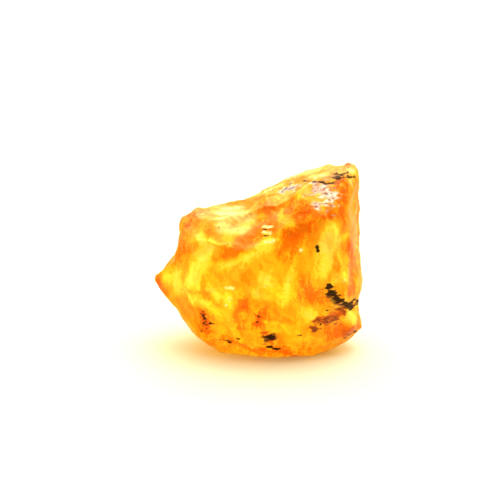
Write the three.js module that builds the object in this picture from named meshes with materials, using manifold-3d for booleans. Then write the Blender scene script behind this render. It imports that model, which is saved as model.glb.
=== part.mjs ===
// A rough spessartine garnet: one broken, etched crystal that rests on a flat fracture face.
// Millimetres, +Z up, +X to the viewer's right and -Y towards the viewer.
// The origin is on the resting face, at the middle of the crystal's width and depth.
import * as THREE from "three";
import { ConvexGeometry } from "three/addons/geometries/ConvexGeometry.js";
import { ImprovedNoise } from "three/addons/math/ImprovedNoise.js";
import { TessellateModifier } from "three/addons/modifiers/TessellateModifier.js";
import { mergeVertices } from "three/addons/utils/BufferGeometryUtils.js";
import Module from "manifold-3d";

// Driving dimensions
const WIDTH = 12.4;
const DEPTH = 9.5;
const HEIGHT = 11.2;

// Size of the surface's triangles: the longest edge of a block, and about the edge of a hollow.
const LONGEST_EDGE = 0.62;
const SPLIT_ROUNDS = 14;
const HOLLOW_EDGE = 0.6;

// Every place below is [across, back, up]: shares of half the width, half the depth and the height.
// The unbroken form is the hull of these corners.
const CRYSTAL = [
  // skyline, from the left shoulder to the right corner
  [-0.77, -0.01, 0.68], [-0.6, 0.12, 0.72], [0.45, 0.12, 0.92], [0.62, 0.14, 0.96],
  [0.86, -0.03, 1.0], [0.94, -0.09, 0.98], [0.98, -0.16, 0.95],
  // front rim of the narrow band under the skyline
  [0.23, -0.33, 0.88], [0.4, -0.39, 0.93], [0.62, -0.41, 0.94], [0.86, -0.37, 0.95],
  // ridge between the top bevels and the front
  [-0.64, -0.5, 0.62], [0.02, -0.8, 0.66], [0.7, -0.78, 0.79], [0.87, -0.56, 0.8],
  // fullest line of the front
  [-0.6, -0.72, 0.42], [-0.25, -0.96, 0.42], [0.35, -1.0, 0.45], [0.82, -0.75, 0.46],
  // lower edge of the front
  [-0.55, -0.62, 0.1], [-0.04, -0.85, 0.11], [0.4, -0.83, 0.13], [0.8, -0.66, 0.14],
  // blunt left point and the flank below it
  [-1.0, -0.26, 0.37], [-1.0, -0.2, 0.42], [-0.96, 0.05, 0.39],
  [-0.89, -0.28, 0.31], [-0.74, -0.37, 0.2], [-0.6, -0.45, 0.1],
  // right flank and toe
  [0.97, -0.24, 0.74], [0.96, -0.2, 0.47], [1.0, -0.28, 0.12], [0.99, -0.1, 0.13], [0.85, -0.41, 0.045],
  // upper, fullest and lower line of the back
  [-0.59, 0.6, 0.56], [0.02, 0.77, 0.68], [0.6, 0.64, 0.8], [0.85, 0.43, 0.78],
  [-0.72, 0.47, 0.32], [-0.25, 0.96, 0.35], [0.44, 1.0, 0.41], [0.89, 0.54, 0.38],
  [-0.47, 0.43, 0.08], [0.07, 0.68, 0.05], [0.62, 0.52, 0.06],
  // resting face
  [-0.38, -0.47, 0], [0.11, -0.68, 0], [0.52, -0.62, 0], [0.68, -0.41, 0],
  [0.56, 0.26, 0], [0.09, 0.47, 0], [-0.31, 0.31, 0],
];

// Wedges that broke out and left an inner corner. Each is the hull of its own corners.
const WEDGES = [
  // notch between the left point and the shoulder
  [
    [-0.77, -0.9, 0.525], [-0.84, 0.9, 0.47],
    [-1.2, -0.9, 0.3], [-1.25, 0.9, 0.27], [-0.74, -0.9, 0.8], [-0.78, 0.9, 0.8], [-1.3, 0, 0.8],
  ],
  // step down the back of the shoulder
  [
    [-0.5, 0.38, 0.64], [0.3, 0.56, 0.67],
    [-0.9, 0.9, 0.54], [0.35, 1.1, 0.58], [-0.65, 0.26, 1.0], [0.5, 0.42, 1.0], [0, 1.2, 1.0],
  ],
  // step in the back of the right flank
  [
    [0.74, 0.5, 0.66], [0.8, 0.4, 0.24],
    [1.2, 0.16, 0.72], [1.25, 0.12, 0.2], [0.6, 1.2, 0.7], [0.7, 1.2, 0.2], [1.3, 1.2, 0.5],
  ],
];

// Shell-shaped hollows left by chips. Each is cut by an uneven ball: the place where the cut is
// deepest, the way it faces, the ball's radius and the depth of the cut.
const HOLLOWS = [
  // saddle in the skyline, and the nick in the crest
  { at: [-0.02, 0.06, 0.84], facing: [-0.34, 0, 0.94], radius: 12, bite: 0.85 },
  { at: [0.74, 0.05, 0.98], facing: [0, 0, 1], radius: 0.9, bite: 0.3 },
  // top bevels
  { at: [-0.26, -0.4, 0.725], facing: [-0.15, -0.62, 0.78], radius: 7.5, bite: 0.3 },
  { at: [0.55, -0.6, 0.87], facing: [0.0, -0.65, 0.76], radius: 5.5, bite: 0.25 },
  // front face, and the chips along its ridge, flanks and lower edge
  { at: [-0.45, -0.84, 0.27], facing: [-0.45, -0.85, -0.25], radius: 8.5, bite: 0.5 },
  { at: [0.5, -0.97, 0.62], facing: [0.12, -0.98, 0.2], radius: 8.0, bite: 0.4 },
  { at: [0.1, -0.95, 0.3], facing: [-0.05, -0.98, -0.15], radius: 6.0, bite: 0.3 },
  { at: [0.78, -0.78, 0.24], facing: [0.55, -0.8, -0.15], radius: 4.6, bite: 0.45 },
  { at: [0.9, -0.66, 0.6], facing: [0.75, -0.65, 0.1], radius: 4.6, bite: 0.35 },
  { at: [-0.68, -0.64, 0.54], facing: [-0.7, -0.7, 0.1], radius: 4.0, bite: 0.35 },
  { at: [-0.3, -0.74, 0.07], facing: [-0.2, -0.7, -0.7], radius: 3.4, bite: 0.3 },
  { at: [0.4, -0.82, 0.08], facing: [0.1, -0.7, -0.7], radius: 4.0, bite: 0.3 },
  // flanks
  { at: [0.99, 0.05, 0.66], facing: [1, 0.1, 0.1], radius: 7.0, bite: 0.25 },
  { at: [0.98, -0.1, 0.24], facing: [1, -0.1, -0.05], radius: 4.0, bite: 0.2 },
  { at: [-0.82, 0.3, 0.27], facing: [-0.9, 0.3, -0.3], radius: 4.5, bite: 0.4 },
  // back
  { at: [-0.52, 0.8, 0.4], facing: [-0.6, 0.8, 0.05], radius: 7.0, bite: 0.6 },
  { at: [0.3, 0.98, 0.5], facing: [0.1, 0.97, 0.2], radius: 5.5, bite: 0.45 },
  { at: [0.25, 0.84, 0.16], facing: [0.1, 0.85, -0.5], radius: 6.0, bite: 0.55 },
  { at: [0.75, 0.35, 0.88], facing: [0.4, 0.7, 0.6], radius: 5.0, bite: 0.4 },
];

// Steps where thin plates broke away: the middle of a step's inner edge, its width and its turn in
// degrees about the axis that runs front to back. A step is open to the front and to the top.
const LEDGES = [
  { at: [0.09, -0.71, 0.69], width: 0.75, turn: 6 },
  { at: [0.11, -0.77, 0.66], width: 0.95, turn: -4 },
  { at: [0.15, -0.84, 0.615], width: 0.7, turn: 3 },
  { at: [0.72, -0.7, 0.77], width: 0.8, turn: -20 },
];
const LEDGE_RISE = 0.7;
const LEDGE_REACH = 1.5;

// Noise bends the flat faces and the hollows before the cuts, and ripples the whole surface after
// them. Each entry is a wavelength and how far it moves a point.
const FACE_BENDS = [
  { wave: 3.6, reach: 0.34 },
  { wave: 1.7, reach: 0.16 },
];
const HOLLOW_BENDS = [
  { wave: 2.6, reach: 0.5 },
  { wave: 1.2, reach: 0.18 },
];
const RIPPLES = [{ wave: 0.9, reach: 0.07 }];

// The noise fades out towards the resting face, which stays flat.
const NOISE_STARTS_ABOVE = 0.02;
const NOISE_FULL_ABOVE = 0.9;

// How far apart the three axes read the noise, so that they move on their own.
const NOISE_STEP = 31.7;

const wasm = await Module();
wasm.setup();
const noise = new ImprovedNoise();

const place = ([across, back, up]) =>
  new THREE.Vector3((across * WIDTH) / 2, (back * DEPTH) / 2, up * HEIGHT);

// A closed geometry as a solid that can be joined and cut.
function solidOf(geometry) {
  const bare = geometry.clone();
  bare.deleteAttribute("normal");
  bare.deleteAttribute("uv");
  const merged = mergeVertices(bare);
  return new wasm.Manifold(
    new wasm.Mesh({
      numProp: 3,
      vertProperties: new Float32Array(merged.attributes.position.array),
      triVerts: new Uint32Array(merged.index.array),
    }),
  );
}

function geometryOf(solid) {
  const mesh = solid.getMesh();
  return new THREE.BufferGeometry()
    .setAttribute("position", new THREE.BufferAttribute(mesh.vertProperties, 3))
    .setIndex(new THREE.BufferAttribute(mesh.triVerts, 1));
}

// Moves every point by noise.
function moveByNoise(geometry, layers) {
  const position = geometry.getAttribute("position");
  const point = new THREE.Vector3();
  for (let i = 0; i < position.count; i++) {
    point.fromBufferAttribute(position, i);
    const share = THREE.MathUtils.smoothstep(point.z, NOISE_STARTS_ABOVE, NOISE_FULL_ABOVE);
    const move = new THREE.Vector3();
    for (const { wave, reach } of layers) {
      const { x, y, z } = point.clone().divideScalar(wave);
      move.x += reach * noise.noise(x, y, z);
      move.y += reach * noise.noise(x + NOISE_STEP, y, z);
      move.z += reach * noise.noise(x, y + NOISE_STEP, z);
    }
    point.addScaledVector(move, share);
    position.setXYZ(i, point.x, point.y, point.z);
  }
  return geometry;
}

// The hull of some corners, its flat faces split into small triangles and bent a little.
function blockOf(corners) {
  const hull = new ConvexGeometry(corners.map(place));
  hull.deleteAttribute("normal");
  const split = new TessellateModifier(LONGEST_EDGE, SPLIT_ROUNDS).modify(hull);
  return solidOf(moveByNoise(split, FACE_BENDS));
}

function hollowOf({ at, facing, radius, bite }) {
  const outwards = new THREE.Vector3(...facing).normalize();
  const centre = place(at).addScaledVector(outwards, radius - bite);
  const ball = new THREE.IcosahedronGeometry(radius, Math.ceil(radius / HOLLOW_EDGE));
  ball.translate(centre.x, centre.y, centre.z);
  return solidOf(moveByNoise(ball, HOLLOW_BENDS));
}

function ledgeOf({ at, width, turn }) {
  const inner = place(at);
  const step = new THREE.BoxGeometry(width, LEDGE_REACH, LEDGE_RISE);
  step.translate(0, -LEDGE_REACH / 2, LEDGE_RISE / 2);
  step.rotateY(THREE.MathUtils.degToRad(turn));
  return solidOf(step.translate(inner.x, inner.y, inner.z));
}

// Stretches a geometry to the driving dimensions and puts the origin under the middle of its box.
function fitted(geometry) {
  geometry.computeBoundingBox();
  const { min, max } = geometry.boundingBox;
  geometry.translate(-(min.x + max.x) / 2, -(min.y + max.y) / 2, -min.z);
  geometry.scale(WIDTH / (max.x - min.x), DEPTH / (max.y - min.y), HEIGHT / (max.z - min.z));
  geometry.computeVertexNormals();
  return geometry;
}

function garnet() {
  const cuts = [...WEDGES.map(blockOf), ...HOLLOWS.map(hollowOf), ...LEDGES.map(ledgeOf)];
  let crystal = blockOf(CRYSTAL);
  for (const cut of cuts) crystal = crystal.subtract(cut);
  const material = new THREE.MeshStandardMaterial({ color: 0xf79a1e, roughness: 0.2, metalness: 0 });
  const mesh = new THREE.Mesh(fitted(moveByNoise(geometryOf(crystal), RIPPLES)), material);
  mesh.name = "garnet";
  return mesh;
}

const part = new THREE.Group();
part.add(garnet());
export default part;
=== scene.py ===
"""A rough spessartine garnet: one see-through orange crystal, broken, etched and stained, on a white table.

Lengths are in millimetres, and MM turns them into metres. Colours are linear.
"""
import math

import bpy
import numpy as np
from mathutils import Matrix, Vector, noise
from mathutils.bvhtree import BVHTree


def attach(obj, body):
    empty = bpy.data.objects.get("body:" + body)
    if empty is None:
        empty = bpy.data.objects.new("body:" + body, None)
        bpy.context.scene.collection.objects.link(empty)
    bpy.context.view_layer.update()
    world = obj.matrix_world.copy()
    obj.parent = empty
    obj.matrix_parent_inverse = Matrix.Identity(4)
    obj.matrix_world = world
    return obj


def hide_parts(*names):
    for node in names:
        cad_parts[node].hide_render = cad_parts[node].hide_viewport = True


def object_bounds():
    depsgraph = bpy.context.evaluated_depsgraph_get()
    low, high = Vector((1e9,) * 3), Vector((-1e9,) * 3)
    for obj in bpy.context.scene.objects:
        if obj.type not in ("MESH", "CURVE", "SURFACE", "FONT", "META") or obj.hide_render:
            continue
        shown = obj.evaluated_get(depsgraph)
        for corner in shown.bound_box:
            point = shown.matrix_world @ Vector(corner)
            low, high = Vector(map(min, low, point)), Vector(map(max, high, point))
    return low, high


MM = 0.001

# The photograph's view
PHOTO_SIDE = 500
PX_PER_MM = 16.73
VIEW_ELEVATION = math.radians(16)
VIEW_DISTANCE = 180
SENSOR = 36
MIDDLE_PIXEL = (258.6, 251.8)
CLIP_START = 1
CLIP_END = 10000

# The fine mesh
VOXEL = 0.08
SMOOTH_FACTOR = 0.5
SMOOTH_ROUNDS = 2

# The relief: it starts above the flat resting face and is whole above the second height
FLAT_BELOW = 0.05
ROUGH_ABOVE = 0.7
LARGE_FLAKE = 1.7
LARGE_FLAKE_DEPTH = 0.16
SMALL_FLAKE = 0.75
SMALL_FLAKE_DEPTH = 0.07
LUMP = 0.9
LUMP_HEIGHT = 0.05
PIT = 0.24
PIT_DEPTH = 0.015

# A flake's outline is bent by noise, in flake sizes, and its hollow is measured from a middle level
FLAKE_BEND_WAVE = 1.3
FLAKE_BEND = 0.45
FLAKE_LEVEL = 0.3

# The fine ridges: their slanting axes, the first and last as shares of X and Z, and the waves along these
RIDGE_ACROSS = (0.5, -0.35)
RIDGE_DEPTH = 0.6
RIDGE_ALONG = (0.7, 0.9)
RIDGE_WAVES = (0.9, 0.5, 0.3)
RIDGE_HEIGHT = 0.045
RIDGE_LEVEL = 0.6

# The patches that the ridges fill: their size, and the noise where they start and are whole
RIDGE_PATCH = 2.4
RIDGE_PATCH_FROM = -0.1
RIDGE_PATCH_FULL = 0.3

# Small shards of lighter and darker colour
SHARD = 0.4
SHARD_BEND_WAVE = 0.6
SHARD_BEND = 0.2
SHARD_LEAN = 0.4
SHARD_STRETCH = 0.5

# The seed of the noise that bends outlines. Without one it would be different on each run.
NOISE_SEED = 4

# Offsets and factors that make one pattern differ from the next
SMALL_FLAKE_OFFSET = Vector((3.1, 9.2, 5.4))
RIDGE_PATCH_OFFSET = Vector((5.1, 2.2, 8.4))
FLAKE_CELLS = 7.7
SHARD_CELLS = 5.3

# The left point hangs a little lower than the solid's: how far, and where that starts and is whole
SAG = Vector((-0.06, 0, -0.22))
SAG_FROM_X = -2.2
SAG_FULL_X = -4.2
SAG_FROM_Z = 7.0
SAG_FULL_Z = 5.6

# How far from a mark its distance is written
FARTHEST = 2.0

noise.seed_set(NOISE_SEED)
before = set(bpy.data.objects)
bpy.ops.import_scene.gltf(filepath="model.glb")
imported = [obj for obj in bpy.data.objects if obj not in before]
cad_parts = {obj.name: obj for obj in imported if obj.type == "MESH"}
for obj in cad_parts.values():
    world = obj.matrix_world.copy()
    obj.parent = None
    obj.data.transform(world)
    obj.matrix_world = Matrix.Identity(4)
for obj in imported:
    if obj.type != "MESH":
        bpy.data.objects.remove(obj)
cad_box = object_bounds()


def to_camera():
    """The camera's axes: right, up and back."""
    back = Vector((0, -math.cos(VIEW_ELEVATION), math.sin(VIEW_ELEVATION)))
    right = Vector((1, 0, 0))
    return right, back.cross(right), back


def aim_point():
    """The point that the middle of the photograph shows."""
    right, up, _ = to_camera()
    middle = (cad_box[0] + cad_box[1]) / 2 / MM
    across = (PHOTO_SIDE / 2 - MIDDLE_PIXEL[0]) / PX_PER_MM
    above = (MIDDLE_PIXEL[1] - PHOTO_SIDE / 2) / PX_PER_MM
    return middle + right * across + up * above


def make_camera():
    data = bpy.data.cameras.new("camera")
    data.sensor_width = SENSOR
    data.lens = PX_PER_MM * VIEW_DISTANCE * SENSOR / PHOTO_SIDE
    data.clip_start = CLIP_START * MM
    data.clip_end = CLIP_END * MM
    camera = bpy.data.objects.new("camera", data)
    _, _, back = to_camera()
    camera.location = (aim_point() + back * VIEW_DISTANCE) * MM
    camera.rotation_euler = (-back).to_track_quat("-Z", "Y").to_euler()
    bpy.context.scene.collection.objects.link(camera)
    bpy.context.scene.camera = camera


def sight_line(pixel):
    """The start and direction of the line of sight through a pixel."""
    right, up, back = to_camera()
    across = (pixel[0] - PHOTO_SIDE / 2) / PX_PER_MM
    above = (PHOTO_SIDE / 2 - pixel[1]) / PX_PER_MM
    start = aim_point() + back * VIEW_DISTANCE
    towards = right * across + up * above - back * VIEW_DISTANCE
    return start, towards.normalized()


# Shape

def fine_copy(node):
    """The node's mesh in millimetres, as an even grid of small faces."""
    mesh = node.data.copy()
    mesh.transform(Matrix.Scale(1 / MM, 4))
    rough = bpy.data.objects.new("rough", mesh)
    bpy.context.scene.collection.objects.link(rough)
    remesh = rough.modifiers.new("remesh", "REMESH")
    remesh.mode = "VOXEL"
    remesh.voxel_size = VOXEL
    smooth = rough.modifiers.new("smooth", "SMOOTH")
    smooth.factor = SMOOTH_FACTOR
    smooth.iterations = SMOOTH_ROUNDS
    shown = rough.evaluated_get(bpy.context.evaluated_depsgraph_get())
    fine = bpy.data.meshes.new_from_object(shown)
    bpy.data.objects.remove(rough)
    bpy.data.meshes.remove(mesh)
    return fine


def smoothstep(low, high, value):
    share = min(max((value - low) / (high - low), 0), 1)
    return share * share * (3 - 2 * share)


def bent(point, wave, reach):
    """A point moved by noise, so that a pattern read there loses its regular look."""
    return point + reach * noise.noise_vector(point / wave)


def cell_value(place, factor):
    """A random value from 0 to 1 that is the same all over one cell."""
    return 0.5 + 0.5 * noise.cell(place * factor)


def flakes(point, size, depth):
    """Shell-like hollows that meet in sharp ridges, some deeper than others."""
    read = bent(point, FLAKE_BEND_WAVE * size, FLAKE_BEND * size) / size
    distances, places = noise.voronoi(read)
    deep = cell_value(places[0], FLAKE_CELLS)
    return depth * deep * (distances[0] * distances[0] - FLAKE_LEVEL)


def ridges(point):
    """Fine ridges that run along one slanting direction, in patches."""
    across = point.x * RIDGE_ACROSS[0] + point.z * RIDGE_ACROSS[1]
    along = point.x * RIDGE_ALONG[0] + point.z * RIDGE_ALONG[1]
    slant = Vector((across, point.y * RIDGE_DEPTH, along))
    read = Vector([place / wave for place, wave in zip(slant, RIDGE_WAVES)])
    ridge = 1 - abs(noise.noise(read))
    patch = noise.noise(point / RIDGE_PATCH + RIDGE_PATCH_OFFSET)
    patch = smoothstep(RIDGE_PATCH_FROM, RIDGE_PATCH_FULL, patch)
    return RIDGE_HEIGHT * patch * (ridge * ridge - RIDGE_LEVEL)


def relief(point):
    """The surface's height over the plain form."""
    height = flakes(point, LARGE_FLAKE, LARGE_FLAKE_DEPTH)
    height += flakes(point + SMALL_FLAKE_OFFSET, SMALL_FLAKE, SMALL_FLAKE_DEPTH)
    height += LUMP_HEIGHT * noise.noise(point / LUMP)
    height += PIT_DEPTH * noise.noise(point / PIT)
    return height + ridges(point)


def sag(point):
    """How far a point of the left side is moved."""
    left = smoothstep(SAG_FROM_X, SAG_FULL_X, point.x)
    below = smoothstep(SAG_FROM_Z, SAG_FULL_Z, point.z)
    return left * below * SAG


def roughen(mesh):
    """Moves every point, except near the resting face."""
    normals = [Vector(vertex.normal) for vertex in mesh.vertices]
    for vertex, normal in zip(mesh.vertices, normals):
        point = Vector(vertex.co)
        share = smoothstep(FLAT_BELOW, ROUGH_ABOVE, point.z)
        vertex.co += share * (normal * relief(point) + sag(point))
    mesh.update()


def shard_tone(point):
    """How light the small slanting shard at a point is, from 0 to 1."""
    read = bent(point, SHARD_BEND_WAVE, SHARD_BEND)
    slant = Vector((read.x + SHARD_LEAN * read.z, read.y, SHARD_STRETCH * read.z))
    _, places = noise.voronoi(slant / SHARD)
    return cell_value(places[0], SHARD_CELLS)


def write_tones(mesh):
    tones = [shard_tone(Vector(vertex.co)) for vertex in mesh.vertices]
    mesh.attributes.new("tone", "FLOAT", "POINT").data.foreach_set("value", tones)


# Marks on the surface that shows, painted sheen and painted highlights among them. Each is a line of the
# photograph's pixels and its half width in pixels.

YELLOW_ZONES = [
    ([(198, 236), (203, 242)], 5),
    ([(207, 242), (208, 251)], 9.5),
    ([(204, 254), (199, 266)], 10.5),
    ([(195, 272), (191, 283)], 8),
    ([(169, 279), (176, 275), (176, 286)], 7),
    ([(270, 243), (260, 250)], 5),
    ([(256, 254), (246, 258)], 3.5),
    ([(240, 262), (222, 266)], 3),
    ([(266, 277), (268, 284)], 5),
    ([(258, 293), (264, 299)], 4),
    ([(291, 272), (287, 288), (283, 303)], 2.5),
    ([(335, 229), (331, 236)], 8.5),
    ([(327, 244), (328, 254)], 10.5),
    ([(329, 262), (323, 272)], 8),
    ([(339, 240), (346, 237)], 4),
    ([(340, 278)], 6),
    ([(349, 316), (354, 322)], 6),
    ([(306, 313), (312, 317)], 6),
    ([(212, 290), (218, 296)], 3.5),
    ([(227, 299), (230, 307)], 3.5),
    ([(192, 299), (208, 303)], 4),
    ([(321, 207)], 4),
    ([(302, 192), (316, 190)], 5),
]
RED_ZONES = [
    ([(229, 253), (240, 245)], 7),
    ([(240, 245), (250, 237), (261, 225)], 10),
    ([(264, 205), (270, 212), (273, 228)], 8),
    ([(289, 210), (291, 206)], 5),
    ([(298, 217), (312, 209), (330, 216)], 6),
    ([(304, 226), (295, 238), (285, 248)], 8),
    ([(343, 192), (340, 205), (342, 228)], 5),
    ([(208, 232), (213, 239)], 5),
    ([(350, 240), (353, 268), (352, 292)], 6),
    ([(245, 304), (237, 312), (240, 326)], 3.5),
    ([(264, 302), (260, 318), (258, 326)], 3.5),
    ([(303, 282), (307, 292), (318, 300)], 5.5),
    ([(228, 340), (255, 351), (290, 352)], 3.5),
    ([(298, 350), (306, 349)], 3),
    ([(204, 314), (207, 328)], 5),
    ([(330, 332), (345, 331), (354, 328)], 6),
    ([(158, 281), (164, 291)], 3),
    ([(194, 214), (206, 210)], 4),
    ([(185, 225), (181, 240), (180, 254)], 4),
]
# Painted sheen: upward facets made pale where the light from above falls on them, and a little milky there
PALE_SHEEN_ZONES = [
    ([(219, 218), (232, 217), (249, 219)], 6.5),
    ([(221, 214), (232, 213), (246, 213)], 5),
    ([(226, 209), (238, 208)], 4),
    ([(222, 227), (242, 229)], 7),
    ([(288, 178), (306, 172), (322, 169)], 4.5),
    ([(310, 177), (324, 175)], 3),
    ([(352, 171)], 3.5),
    ([(351, 182)], 3),
    ([(240, 199), (262, 193), (280, 185)], 2.5),
]
# A frosted patch whose pinkish white is painted sheen of the light from above, with dark lines in it
FROST_SHEEN_ZONES = [
    ([(285, 190), (297, 186)], 4),
    ([(316, 187), (324, 190), (331, 197)], 7),
    ([(317, 205), (322, 204)], 3),
    ([(328, 205), (330, 206)], 2.5),
]
RUST_ZONES = [
    ([(343, 310), (336, 317), (326, 320)], 5),
    ([(320, 320), (313, 328)], 3.5),
    ([(345, 334), (355, 330)], 4),
    ([(336, 184), (340, 178)], 4),
    ([(348, 163), (349, 167)], 2),
    ([(266, 334), (271, 341)], 4),
    ([(274, 347), (284, 350)], 2),
    ([(243, 305)], 2),
    ([(260, 314), (257, 324)], 2.5),
    ([(290, 354), (295, 354)], 1.2),
]
VEIL_ZONES = [
    ([(331, 297), (338, 303), (347, 308)], 4.5),
    ([(328, 320), (337, 320)], 3.5),
    ([(314, 329), (318, 322)], 2.5),
    ([(329, 179), (336, 175)], 4),
    ([(284, 192), (292, 188)], 2.5),
    ([(266, 339), (274, 336)], 4),
]
# Painted highlights: small white glints where light catches small steps and facets
GLINTS = [
    ([(263, 227), (271, 227)], 1.3),
    ([(263, 232), (271, 233)], 1.1),
    ([(266, 242), (275, 241)], 1.3),
    ([(227, 288), (233, 288)], 1.6),
    ([(230, 299)], 1.6),
    ([(226, 305)], 1.4),
    ([(301, 250)], 1.5),
    ([(265, 286)], 1.2),
    ([(345, 280)], 1.3),
]
STAINS = [
    ([(328, 288), (332, 292)], 4),
    ([(330, 290), (336, 297), (341, 302)], 3.3),
    ([(341, 302), (350, 304)], 3),
    ([(349, 306), (352, 306)], 3.5),
    ([(352, 303), (360, 301)], 3),
    ([(338, 173.5), (341, 175.5)], 2.9),
    ([(338.5, 177), (335.5, 180)], 2.6),
    ([(265, 338), (269, 337), (272, 338)], 1.5),
    ([(268, 346), (276, 349), (283, 348)], 0.9),
    ([(345, 338), (352, 333), (358, 330)], 1.2),
    ([(223, 340), (229, 341)], 0.8),
]
LINES = [
    ([(335, 181), (331, 183.5), (326, 183.5), (322, 182)], 1.3),
    ([(322, 182), (310, 181), (300, 181), (290, 184), (282, 192)], 1.0),
    ([(348, 168), (347.5, 177)], 0.8),
    ([(343, 177.5), (348, 178), (355, 176)], 0.9),
    ([(284, 192), (291, 189), (300, 184)], 0.6),
    ([(318, 196), (325, 193), (333, 199)], 0.6),
    ([(320, 204), (330, 203)], 0.6),
    ([(297, 336), (301, 335)], 0.8),
    ([(236, 338), (240, 339)], 0.7),
    ([(259, 316), (257, 322)], 0.6),
    ([(317, 246), (318, 251)], 1.9),
    # Thin dark lines above and below the painted highlights
    ([(262, 224), (271, 224)], 0.35),
    ([(262, 229.5), (270, 230)], 0.4),
    ([(262, 236), (269, 236)], 0.3),
    ([(201, 308), (204, 308)], 0.5),
    ([(201, 314), (204, 317), (206, 321), (203, 324)], 0.8),
    ([(206, 325), (211, 323), (215, 324)], 0.5),
    ([(207, 328), (205, 330), (202, 332)], 0.6),
]
SPECK_ZONES = [
    ([(203, 311), (206, 322), (203, 333)], 3),
    ([(243, 306)], 3),
    ([(330, 312), (316, 325)], 6),
    ([(348, 334)], 6),
]


# Guessed marks on the hidden side, at the pixels where they would show through the crystal

BACK_YELLOW_ZONES = [
    ([(298, 252), (310, 270)], 9),
    ([(238, 318), (262, 330)], 8),
    ([(330, 292), (335, 322)], 7),
    ([(180, 272), (200, 262), (208, 284)], 8),
]
BACK_RED_ZONES = [
    ([(248, 278), (262, 292), (274, 306)], 8),
    ([(312, 216), (322, 236), (318, 252)], 8),
    ([(238, 240), (244, 258)], 5),
    ([(300, 318), (322, 330)], 7),
]
# Painted sheen on upward facets of the hidden side, where the light from above falls
BACK_PALE_SHEEN_ZONES = [
    ([(306, 204), (320, 198)], 4),
    ([(238, 221), (246, 217)], 3.5),
]
BACK_STAINS = [
    ([(266, 226), (272, 223)], 2.6),
    ([(203, 292), (211, 301)], 2),
    ([(338, 252), (340, 257)], 2.8),
]
BACK_SPECK_ZONES = [
    ([(270, 262), (278, 276)], 8),
    ([(318, 296)], 8),
    ([(222, 300), (232, 312)], 6),
]


def line_points(pixels):
    """Points about a pixel apart along a line of pixels."""
    points = [Vector(pixels[0])]
    for start, end in zip(pixels, pixels[1:]):
        start, end = Vector(start), Vector(end)
        steps = math.ceil((end - start).length)
        points += [start.lerp(end, step / steps) for step in range(1, steps + 1)]
    return points


def marked_points(zones, tree, behind):
    """Points of the surface under each zone's line, with the half width there."""
    for pixels, half_width in zones:
        for pixel in line_points(pixels):
            start, towards = sight_line(pixel)
            if behind:
                start, towards = start + 2 * VIEW_DISTANCE * towards, -towards
            hit = tree.ray_cast(start, towards)[0]
            if hit is not None:
                yield np.array(hit), half_width / PX_PER_MM


def mark(mesh, name, front, back, tree):
    """Writes each point's distance from the nearest zone's edge, below 0 inside it."""
    places = np.array([vertex.co for vertex in mesh.vertices])
    field = np.full(len(places), FARTHEST)
    for zones, behind in ((front, False), (back, True)):
        for point, half_width in marked_points(zones, tree, behind):
            distance = np.linalg.norm(places - point, axis=1)
            field = np.minimum(field, distance - half_width)
    attribute = mesh.attributes.new(name, "FLOAT", "POINT")
    attribute.data.foreach_set("value", field.astype(np.float32))


# Material

class Nodes:
    """Short ways to add and link nodes in one tree."""

    def __init__(self, tree):
        self.tree = tree
        self.tree.nodes.clear()

    def add(self, kind, **settings):
        node = self.tree.nodes.new(kind)
        for name, value in settings.items():
            setattr(node, name, value)
        return node

    def put(self, value, socket):
        if isinstance(value, bpy.types.NodeSocket):
            self.tree.links.new(value, socket)
        else:
            socket.default_value = value

    def math(self, operation, *values):
        node = self.add("ShaderNodeMath", operation=operation)
        for value, socket in zip(values, node.inputs):
            self.put(value, socket)
        return node.outputs[0]

    def highest(self, first, *others):
        for other in others:
            first = self.math("MAXIMUM", first, other)
        return first

    def sway(self, total, pattern, share):
        """Adds to a total how far a pattern is from its middle, times a share."""
        return self.math("MULTIPLY_ADD", self.math("SUBTRACT", pattern, 0.5), share, total)

    def attribute(self, name):
        return self.add("ShaderNodeAttribute", attribute_name=name).outputs["Fac"]

    def mapped(self, coordinates, turn, scale):
        node = self.add("ShaderNodeMapping")
        self.put(coordinates, node.inputs["Vector"])
        node.inputs["Rotation"].default_value = turn
        node.inputs["Scale"].default_value = scale
        return node.outputs[0]

    def noise(self, coordinates, size, detail, roughness, distortion):
        """Noise from 0 to 1 whose lumps are about size millimetres across."""
        node = self.add("ShaderNodeTexNoise")
        self.put(coordinates, node.inputs["Vector"])
        node.inputs["Scale"].default_value = 1 / (size * MM)
        node.inputs["Detail"].default_value = detail
        node.inputs["Roughness"].default_value = roughness
        node.inputs["Distortion"].default_value = distortion
        return node.outputs["Fac"]

    def between(self, value, low, high, to_low=0.0, to_high=1.0):
        node = self.add("ShaderNodeMapRange", interpolation_type="SMOOTHSTEP")
        for number, socket in zip((value, low, high, to_low, to_high), node.inputs):
            self.put(number, socket)
        return node.outputs[0]

    def ramp(self, value, stops):
        node = self.add("ShaderNodeValToRGB")
        self.put(value, node.inputs[0])
        elements = node.color_ramp.elements
        for place, colour in stops[1:-1]:
            elements.new(place).color = colour
        for element, (place, colour) in zip((elements[0], elements[-1]), (stops[0], stops[-1])):
            element.position = place
            element.color = colour
        return node.outputs[0]

    def mix(self, share, first, second):
        """A colour between two others. Sockets 6, 7 and 2 are the node's colour sockets."""
        node = self.add("ShaderNodeMix", data_type="RGBA")
        self.put(share, node.inputs[0])
        self.put(first, node.inputs[6])
        self.put(second, node.inputs[7])
        return node.outputs[2]


# The noise patterns of the finish: the lumps' size, detail, roughness and distortion
MOTTLE = (0.6, 3, 0.6, 0.8)
STREAKS = (0.3, 4, 0.6, 0.5)
GRAIN = (0.16, 4, 0.65, 0)
TICKS = (0.1, 2, 0.5, 0)
RAGGED = (0.2, 3, 0.5, 0)
FINE = (0.06, 3, 0.6, 0)
STREAK_TURN = (0, math.radians(-28), 0)
STREAK_SCALE = (1, 0.7, 0.3)
NO_TURN = (0, 0, 0)
LEVEL_SCALE = (0.45, 0.45, 1)
PATCHY_STREAKS = 0.55
PATCHY_GRAIN = 0.45

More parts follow.
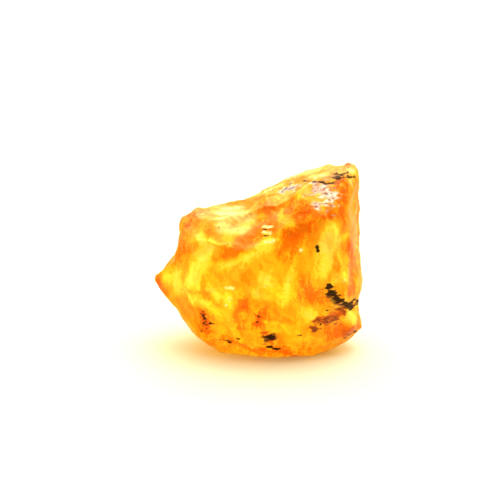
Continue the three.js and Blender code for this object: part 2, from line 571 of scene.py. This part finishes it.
# The marks' edges: the pattern that moves them, how soft they are, and how far they are moved
MARK_EDGES = {
    "yellow": ("patchy", 0.3, 2.7),
    "red": ("patchy", 0.35, 2.6),
    "pale_sheen": ("patchy", 0.3, 1.3),
    "frost_sheen": ("ragged", 0.25, 2.4),
    "rust": ("ragged", 0.12, 1.4),
    "glint": ("grain", 0.06, 0.6),
    "veil": ("ragged", 0.2, 1.4),
    "stain": ("ragged", 0.06, 1.0),
    "line": ("ragged", 0.04, 0.35),
    "speck": ("grain", 0.1, 0.6),
}
VEIL_STRENGTH = 0.8

# The crystal's colours, from the reddest to the yellowest, and what moves them along that row
GARNET_COLOURS = [
    (0.0, (0.87, 0.12, 0.003, 1)),
    (0.3, (1.0, 0.42, 0.025, 1)),
    (0.5, (1.0, 0.67, 0.06, 1)),
    (0.75, (1.0, 0.88, 0.13, 1)),
    (1.0, (1.0, 0.99, 0.32, 1)),
]
MIDDLE_WARMTH = 0.38
MOTTLING = {"mottle": 0.34, "streaks": 0.34, "grain": 0.26, "tone": 0.22}
YELLOW_WARMTH = 0.5
RED_WARMTH = -0.42

# The marks' colours
# Pale painted sheen of the light from above
PALE_SHEEN_COLOUR = (1.0, 0.93, 0.5, 1)
FLECK_COLOUR = (0.5, 0.12, 0.012, 1)
# Pinkish white painted sheen on the frosted patch
FROST_SHEEN_COLOUR = (0.92, 0.68, 0.86, 1)
FROST_LINE_COLOUR = (0.16, 0.05, 0.07, 1)
RUST_COLOUR = (0.5, 0.06, 0.012, 1)
# White painted highlights
GLINT_COLOUR = (1, 1, 0.85, 1)
VEIL_COLOUR = (0.14, 0.05, 0.045, 1)
STAIN_BLACK = (0.012, 0.005, 0.005, 1)
STAIN_BROWN = (0.08, 0.03, 0.02, 1)

# The values of a pattern between which a mark starts and is whole
FLECK_TICKS = (0.7, 0.78)
FROST_LINE_TICKS = (0.5, 0.58)
SPECK_TICKS = (0.57, 0.62)
STAIN_GRAIN = (0.4, 0.7)
ROUGH_GRAIN = (0.3, 0.75)

# Gloss and clearness
ROUGHNESS = (0.28, 0.48)
STAIN_ROUGHNESS = 0.3
BUMP_STRENGTH = 0.2
BUMP_DEPTH = 0.02
COAT = (0.05, 1)
COAT_ROUGHNESS = 0.15
GLOSS = 0.25
GLOSS_TINT = (1.0, 0.6, 0.06, 1)
REFRACTION = 1.8
CLEAR = 0.86
# How much less light passes in the pale painted sheen, in the white painted sheen and highlights, and in
# the yellow marks
PALE_SHEEN_CLOUD = 0.36
WHITE_CLOUD = 0.5
YELLOW_CLOUD = 0.33
ABSORPTION_COLOUR = (0.995, 0.93, 0.03, 1)
ABSORPTION_DENSITY = 150


def find_patterns(nodes):
    """The patterns that the finish is made of, each from 0 to 1."""
    plain = nodes.add("ShaderNodeTexCoord").outputs["Object"]
    slanted = nodes.mapped(plain, STREAK_TURN, STREAK_SCALE)
    level = nodes.mapped(plain, NO_TURN, LEVEL_SCALE)
    streaks = nodes.noise(slanted, *STREAKS)
    grain = nodes.noise(plain, *GRAIN)
    patchy = nodes.math("MULTIPLY", grain, PATCHY_GRAIN)
    patchy = nodes.math("MULTIPLY_ADD", streaks, PATCHY_STREAKS, patchy)
    return {
        "mottle": nodes.noise(plain, *MOTTLE),
        "streaks": streaks,
        "grain": grain,
        "patchy": patchy,
        "ticks": nodes.noise(level, *TICKS),
        "ragged": nodes.noise(level, *RAGGED),
        "fine": nodes.noise(plain, *FINE),
        "tone": nodes.attribute("tone"),
    }


def find_zones(nodes, patterns):
    """Where each mark is, from 0 to 1, with stains, lines and specks as one."""
    zones = {}
    for name, (pattern, soft, spread) in MARK_EDGES.items():
        moved = nodes.sway(nodes.attribute(name), patterns[pattern], spread)
        zones[name] = nodes.between(moved, soft, -soft)
    zones["veil"] = nodes.math("MULTIPLY", zones["veil"], VEIL_STRENGTH)
    specks = nodes.math("MULTIPLY", zones["speck"], nodes.between(patterns["ticks"], *SPECK_TICKS))
    zones["stain"] = nodes.highest(zones["stain"], zones["line"], specks)
    # The white: the frosted painted sheen and the painted highlights
    zones["white"] = nodes.highest(zones["frost_sheen"], zones["glint"])
    return zones


def garnet_colour(nodes, patterns, zones):
    """The crystal's colour: the mottling first, then each mark over it, the painted sheen and painted
    highlights among them.
    """
    warmth = MIDDLE_WARMTH
    for name, share in MOTTLING.items():
        warmth = nodes.sway(warmth, patterns[name], share)
    warmth = nodes.math("MULTIPLY_ADD", zones["yellow"], YELLOW_WARMTH, warmth)
    warmth = nodes.math("MULTIPLY_ADD", zones["red"], RED_WARMTH, warmth)
    colour = nodes.ramp(warmth, GARNET_COLOURS)
    flecks = nodes.between(patterns["ticks"], *FLECK_TICKS)
    frost_lines = nodes.between(patterns["ticks"], *FROST_LINE_TICKS)
    frost_lines = nodes.math("MULTIPLY", zones["frost_sheen"], frost_lines)
    dark = nodes.mix(nodes.between(patterns["grain"], *STAIN_GRAIN), STAIN_BLACK, STAIN_BROWN)
    for share, over in (
        (zones["pale_sheen"], PALE_SHEEN_COLOUR),
        (flecks, FLECK_COLOUR),
        (zones["frost_sheen"], FROST_SHEEN_COLOUR),
        (frost_lines, FROST_LINE_COLOUR),
        (zones["rust"], RUST_COLOUR),
        (zones["glint"], GLINT_COLOUR),
        (zones["veil"], VEIL_COLOUR),
        (zones["stain"], dark),
    ):
        colour = nodes.mix(share, colour, over)
    return colour


def garnet_roughness(nodes, patterns, zones):
    roughness = nodes.between(patterns["grain"], *ROUGH_GRAIN, *ROUGHNESS)
    return nodes.math("MULTIPLY_ADD", zones["stain"], STAIN_ROUGHNESS, roughness)


def garnet_clearness(nodes, zones):
    """How much light passes: less in the pale painted sheen, the white painted sheen and highlights, the
    yellow marks, films and stains.
    """
    cloudy = nodes.highest(
        nodes.math("MULTIPLY", zones["pale_sheen"], PALE_SHEEN_CLOUD),
        nodes.math("MULTIPLY", zones["white"], WHITE_CLOUD),
        nodes.math("MULTIPLY", zones["yellow"], YELLOW_CLOUD),
        zones["veil"],
        zones["stain"],
    )
    return nodes.math("MULTIPLY_ADD", cloudy, -CLEAR, CLEAR)


def garnet_bump(nodes, patterns):
    bump = nodes.add("ShaderNodeBump")
    bump.inputs["Strength"].default_value = BUMP_STRENGTH
    bump.inputs["Distance"].default_value = BUMP_DEPTH * MM
    nodes.put(patterns["fine"], bump.inputs["Height"])
    return bump.outputs[0]


def garnet_material():
    material = bpy.data.materials.new("garnet")
    material.use_nodes = True
    nodes = Nodes(material.node_tree)
    output = nodes.add("ShaderNodeOutputMaterial")
    shader = nodes.add("ShaderNodeBsdfPrincipled")
    patterns = find_patterns(nodes)
    zones = find_zones(nodes, patterns)
    nodes.put(garnet_colour(nodes, patterns, zones), shader.inputs["Base Color"])
    nodes.put(garnet_roughness(nodes, patterns, zones), shader.inputs["Roughness"])
    nodes.put(garnet_bump(nodes, patterns), shader.inputs["Normal"])
    nodes.put(nodes.between(zones["white"], 0, 1, *COAT), shader.inputs["Coat Weight"])
    nodes.put(garnet_clearness(nodes, zones), shader.inputs["Transmission Weight"])
    shader.inputs["Coat Roughness"].default_value = COAT_ROUGHNESS
    shader.inputs["Specular Tint"].default_value = GLOSS_TINT
    shader.inputs["Specular IOR Level"].default_value = GLOSS
    shader.inputs["IOR"].default_value = REFRACTION
    absorption = nodes.add("ShaderNodeVolumeAbsorption")
    absorption.inputs["Color"].default_value = ABSORPTION_COLOUR
    absorption.inputs["Density"].default_value = ABSORPTION_DENSITY
    nodes.put(shader.outputs[0], output.inputs["Surface"])
    nodes.put(absorption.outputs[0], output.inputs["Volume"])
    return material


def make_crystal():
    mesh = fine_copy(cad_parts["garnet"])
    mesh.name = "garnet_crystal"
    roughen(mesh)
    write_tones(mesh)
    corners = [vertex.co for vertex in mesh.vertices]
    tree = BVHTree.FromPolygons(corners, [face.vertices for face in mesh.polygons])
    for name, front, back in (
        ("yellow", YELLOW_ZONES, BACK_YELLOW_ZONES),
        ("red", RED_ZONES, BACK_RED_ZONES),
        ("pale_sheen", PALE_SHEEN_ZONES, BACK_PALE_SHEEN_ZONES),
        ("frost_sheen", FROST_SHEEN_ZONES, []),
        ("rust", RUST_ZONES, []),
        ("veil", VEIL_ZONES, []),
        ("glint", GLINTS, []),
        ("stain", STAINS, BACK_STAINS),
        ("line", LINES, []),
        ("speck", SPECK_ZONES, BACK_SPECK_ZONES),
    ):
        mark(mesh, name, front, back, tree)
    mesh.transform(Matrix.Scale(MM, 4))
    mesh.polygons.foreach_set("use_smooth", [True] * len(mesh.polygons))
    mesh.materials.clear()
    mesh.materials.append(garnet_material())
    crystal = bpy.data.objects.new("garnet_crystal", mesh)
    bpy.context.scene.collection.objects.link(crystal)
    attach(crystal, "root")
    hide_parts("garnet")


# Stage and light

FLOOR_HALF = 700
FLOOR_COLOUR = (0.56, 0.53, 0.53, 1)
FLOOR_ROUGHNESS = 0.7
FLOOR_GLOSS = 0.2

# The sky: its main light, its sides, and how dim the part behind the camera is
KEY_FROM = Vector((0.25, 0.45, 0.86))
KEY_RANGE = (0.5, 0.98)
KEY = 3.6
SIDE_RANGE = (0.4, 0.95)
SIDE_LIGHT = 2.0
DEPTH_RANGE = (-0.8, 0.2)
FRONT_LIGHT = 0.22
BACK_LIGHT = 1.2
SKY_COLOUR = (0.8, 0.79, 0.73, 1)

# The sides and the low part of the sky are warm
WARM_COLOUR = (0.8, 0.69, 0.22, 1)
LOW_RANGE = (0.7, 0.2)

# A small lamp above
LAMP_SIZE = 18
LAMP_POWER = 0.005
LAMP_PLACE = Vector((0, -20, 160))

# Low warm lamps for the pools of light beside the crystal: name, colour, power, place and aim
GLOWS = [
    ("glow_left", (1.0, 0.7, 0.22), 0.15, Vector((-40, -40, 20)), Vector((-5.5, -2.5, 0))),
    ("glow_right", (1.0, 0.85, 0.5), 0.07, Vector((42, -34, 18)), Vector((7.5, -1, 0))),
]
GLOW_ANGLE = math.radians(11)
GLOW_SIZE = 4

# The picture
EXPOSURE = 0.35
GAMMA = 0.8
BOUNCES = 200


def make_floor():
    side = FLOOR_HALF * MM
    corners = [(-side, -side, 0), (side, -side, 0), (side, side, 0), (-side, side, 0)]
    mesh = bpy.data.meshes.new("floor")
    mesh.from_pydata(corners, [], [(0, 1, 2, 3)])
    floor = bpy.data.objects.new("floor", mesh)
    material = bpy.data.materials.new("white_floor")
    material.use_nodes = True
    shader = material.node_tree.nodes["Principled BSDF"]
    shader.inputs["Base Color"].default_value = FLOOR_COLOUR
    shader.inputs["Roughness"].default_value = FLOOR_ROUGHNESS
    shader.inputs["Specular IOR Level"].default_value = FLOOR_GLOSS
    mesh.materials.append(material)
    bpy.context.scene.collection.objects.link(floor)


def make_sky():
    world = bpy.data.worlds.new("studio")
    world.use_nodes = True
    nodes = Nodes(world.node_tree)
    output = nodes.add("ShaderNodeOutputWorld")
    background = nodes.add("ShaderNodeBackground")
    direction = nodes.add("ShaderNodeTexCoord").outputs["Generated"]
    towards = nodes.add("ShaderNodeVectorMath", operation="DOT_PRODUCT")
    nodes.put(direction, towards.inputs[0])
    nodes.put(KEY_FROM.normalized(), towards.inputs[1])
    axes = nodes.add("ShaderNodeSeparateXYZ")
    nodes.put(direction, axes.inputs[0])
    beside = nodes.math("ABSOLUTE", axes.outputs["X"])
    key = nodes.between(towards.outputs["Value"], *KEY_RANGE, 0, KEY)
    sides = nodes.between(beside, *SIDE_RANGE, 0, SIDE_LIGHT)
    plain = nodes.between(axes.outputs["Y"], *DEPTH_RANGE, FRONT_LIGHT, BACK_LIGHT)
    strength = nodes.math("ADD", nodes.math("ADD", key, sides), plain)
    low = nodes.between(axes.outputs["Z"], *LOW_RANGE)
    warm = nodes.highest(nodes.between(beside, *SIDE_RANGE), low)
    nodes.put(nodes.mix(warm, SKY_COLOUR, WARM_COLOUR), background.inputs["Color"])
    nodes.put(strength, background.inputs["Strength"])
    nodes.put(background.outputs[0], output.inputs["Surface"])
    bpy.context.scene.world = world


def make_lamp():
    lamp = bpy.data.lights.new("lamp", "AREA")
    lamp.size = LAMP_SIZE * MM
    lamp.energy = LAMP_POWER
    holder = bpy.data.objects.new("lamp", lamp)
    holder.location = LAMP_PLACE * MM
    bpy.context.scene.collection.objects.link(holder)


def make_glow(name, colour, power, place, aim):
    glow = bpy.data.lights.new(name, "SPOT")
    glow.color = colour
    glow.energy = power
    glow.spot_size = GLOW_ANGLE
    glow.spot_blend = 1
    glow.shadow_soft_size = GLOW_SIZE * MM
    holder = bpy.data.objects.new(name, glow)
    holder.location = place * MM
    holder.rotation_euler = (aim - place).to_track_quat("-Z", "Y").to_euler()
    bpy.context.scene.collection.objects.link(holder)


def set_picture():
    scene = bpy.context.scene
    scene.view_settings.view_transform = "Standard"
    scene.view_settings.exposure = EXPOSURE
    scene.view_settings.gamma = GAMMA
    scene.cycles.max_bounces = BOUNCES
    scene.cycles.transmission_bounces = BOUNCES
    scene.cycles.glossy_bounces = BOUNCES


make_camera()
make_crystal()
make_floor()
make_sky()
make_lamp()
for glow in GLOWS:
    make_glow(*glow)
set_picture()
